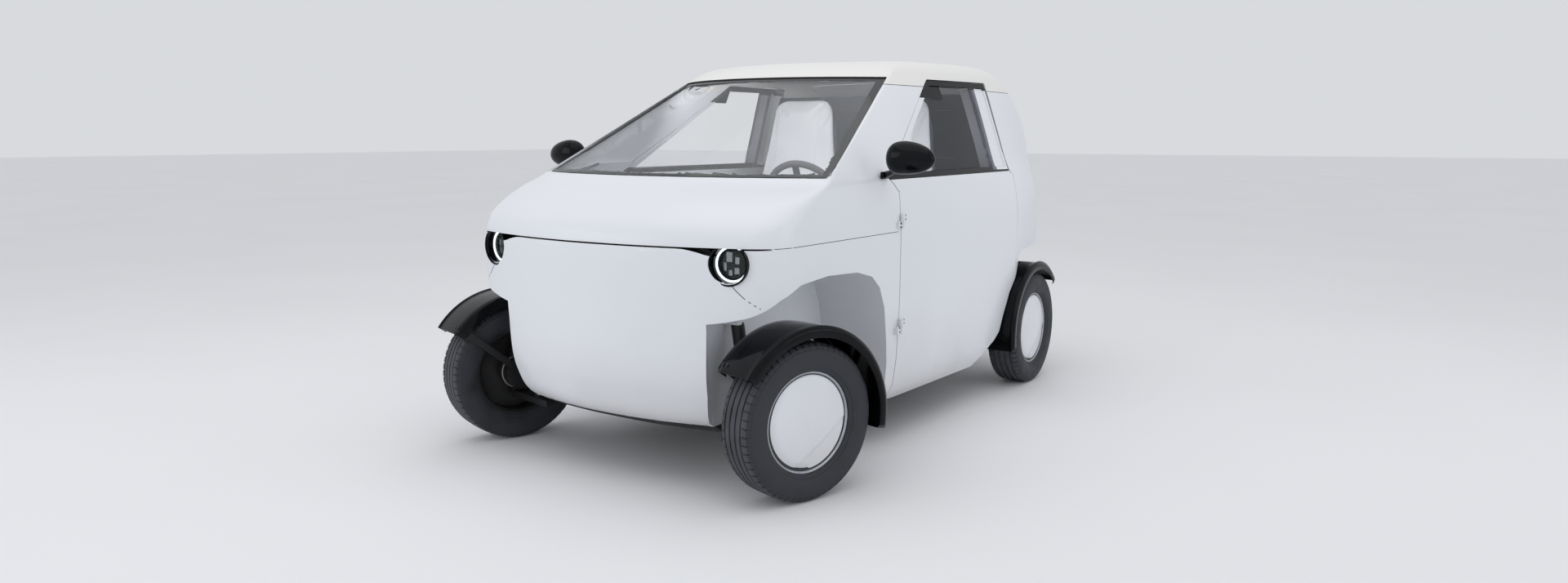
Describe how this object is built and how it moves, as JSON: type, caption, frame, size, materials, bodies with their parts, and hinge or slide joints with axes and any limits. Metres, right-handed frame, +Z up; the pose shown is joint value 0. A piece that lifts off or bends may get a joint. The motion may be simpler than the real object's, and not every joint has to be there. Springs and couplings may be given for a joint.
{
  "type": "two-seat microcar",
  "caption": "Short two-seat microcar with moulded white panels, open black mudguards, hinged doors and a top-hinged tailgate.",
  "frame": {"origin": "on the ground under the middle of the car's length and width", "axes": "+X to the car's left, +Y to the tail, +Z up; the nose is at -Y"},
  "size_m": [1.762, 2.7215, 1.44],
  "materials": {
    "white_body": "semi-gloss moulded white",
    "black_trim": "glossy black",
    "underbody": "matt black",
    "grey_trim": "satin grey",
    "glass": "clear",
    "lamp": "dark lamp unit",
    "seat": "padded white cover",
    "tyre": "rubber",
    "wheel_white": "white cover on a silver rim",
    "steel": "black-coated steel",
    "wheel_rim_grip": "grey grip",
    "tail_lamp": "red lens"
  },
  "bodies": {
    "chassis": {"battery_box": "underbody", "dashboard": "grey_trim", "drive_unit": "steel", "floor_tub": "underbody", "front_panel": "white_body", "front_suspension": "steel", "headlamps": "lamp", "mirror_left": "black_trim", "mirror_right": "black_trim", "nose_fascia": "white_body", "quarter_panel_left": "white_body", "quarter_panel_right": "white_body", "rear_axle": "steel", "rear_bulkhead": "grey_trim", "rear_mudguards": "black_trim", "roof_panel": "white_body", "seat_left": "seat", "seat_right": "seat", "tail_panel": "white_body", "tail_lamps": "tail_lamp", "windscreen": "glass"},
    "door_left": {"door_panel_left": "white_body", "door_frame_left": "black_trim", "door_glass_left": "glass"},
    "door_right": {"door_panel_right": "white_body", "door_frame_right": "black_trim", "door_glass_right": "glass"},
    "tailgate": {"tailgate_panel": "white_body", "tailgate_glass": "glass"},
    "front_corner_left": {"knuckle_left": "steel", "front_mudguard_left": "black_trim"},
    "front_corner_right": {"knuckle_right": "steel", "front_mudguard_right": "black_trim"},
    "road_wheel_front_left": {"tyre_front_left": "tyre", "wheel_front_left": "wheel_white"},
    "road_wheel_front_right": {"tyre_front_right": "tyre", "wheel_front_right": "wheel_white"},
    "road_wheel_rear_left": {"tyre_rear_left": "tyre", "wheel_rear_left": "wheel_white"},
    "road_wheel_rear_right": {"tyre_rear_right": "tyre", "wheel_rear_right": "wheel_white"},
    "steering_wheel": {"steering_wheel": "wheel_rim_grip"}
  },
  "joints": [
    {"name": "steer_left", "type": "hinge", "parent": "chassis", "child": "front_corner_left", "pos_m": [0.62358, -1.095, 0.254], "axis": [0, 0, 1], "range_deg": [-11.3, 48.7]},
    {"name": "steer_right", "type": "hinge", "parent": "chassis", "child": "front_corner_right", "pos_m": [-0.62358, -1.095, 0.254], "axis": [0, 0, 1], "range_deg": [-11.3, 48.7]},
    {"name": "steering_wheel_turn", "type": "hinge", "parent": "chassis", "child": "steering_wheel", "pos_m": [0.255, -0.42, 0.885], "axis": [0, 0.9135, 0.4067], "range_deg": [-135.7, 584.5]},
    {"name": "door_left_hinge", "type": "hinge", "parent": "chassis", "child": "door_left", "pos_m": [0.681, -0.445, 0.62], "axis": [0, 0, -1], "range_deg": [0, 65]},
    {"name": "door_right_hinge", "type": "hinge", "parent": "chassis", "child": "door_right", "pos_m": [-0.681, -0.445, 0.62], "axis": [0, 0, 1], "range_deg": [0, 65]},
    {"name": "tailgate_hinge", "type": "hinge", "parent": "chassis", "child": "tailgate", "pos_m": [0, 0.7605, 1.4345], "axis": [1, 0, 0], "range_deg": [0, 75]},
    {"name": "spin_front_left", "type": "hinge", "parent": "front_corner_left", "child": "road_wheel_front_left", "pos_m": [0.652, -1.10462, 0.254], "axis": [0.9472, -0.3206, 0], "continuous": true},
    {"name": "spin_front_right", "type": "hinge", "parent": "front_corner_right", "child": "road_wheel_front_right", "pos_m": [-0.652, -1.08538, 0.254], "axis": [0.9472, -0.3206, 0], "continuous": true},
    {"name": "spin_rear_left", "type": "hinge", "parent": "chassis", "child": "road_wheel_rear_left", "pos_m": [0.652, 0.858, 0.254], "axis": [1, 0, 0], "continuous": true},
    {"name": "spin_rear_right", "type": "hinge", "parent": "chassis", "child": "road_wheel_rear_right", "pos_m": [-0.652, 0.858, 0.254], "axis": [1, 0, 0], "continuous": true}
  ],
  "couplings": [
    {"joint": "steer_right", "follows": "steer_left", "ratio": 1},
    {"joint": "steering_wheel_turn", "follows": "steer_left", "ratio": 12}
  ]
}
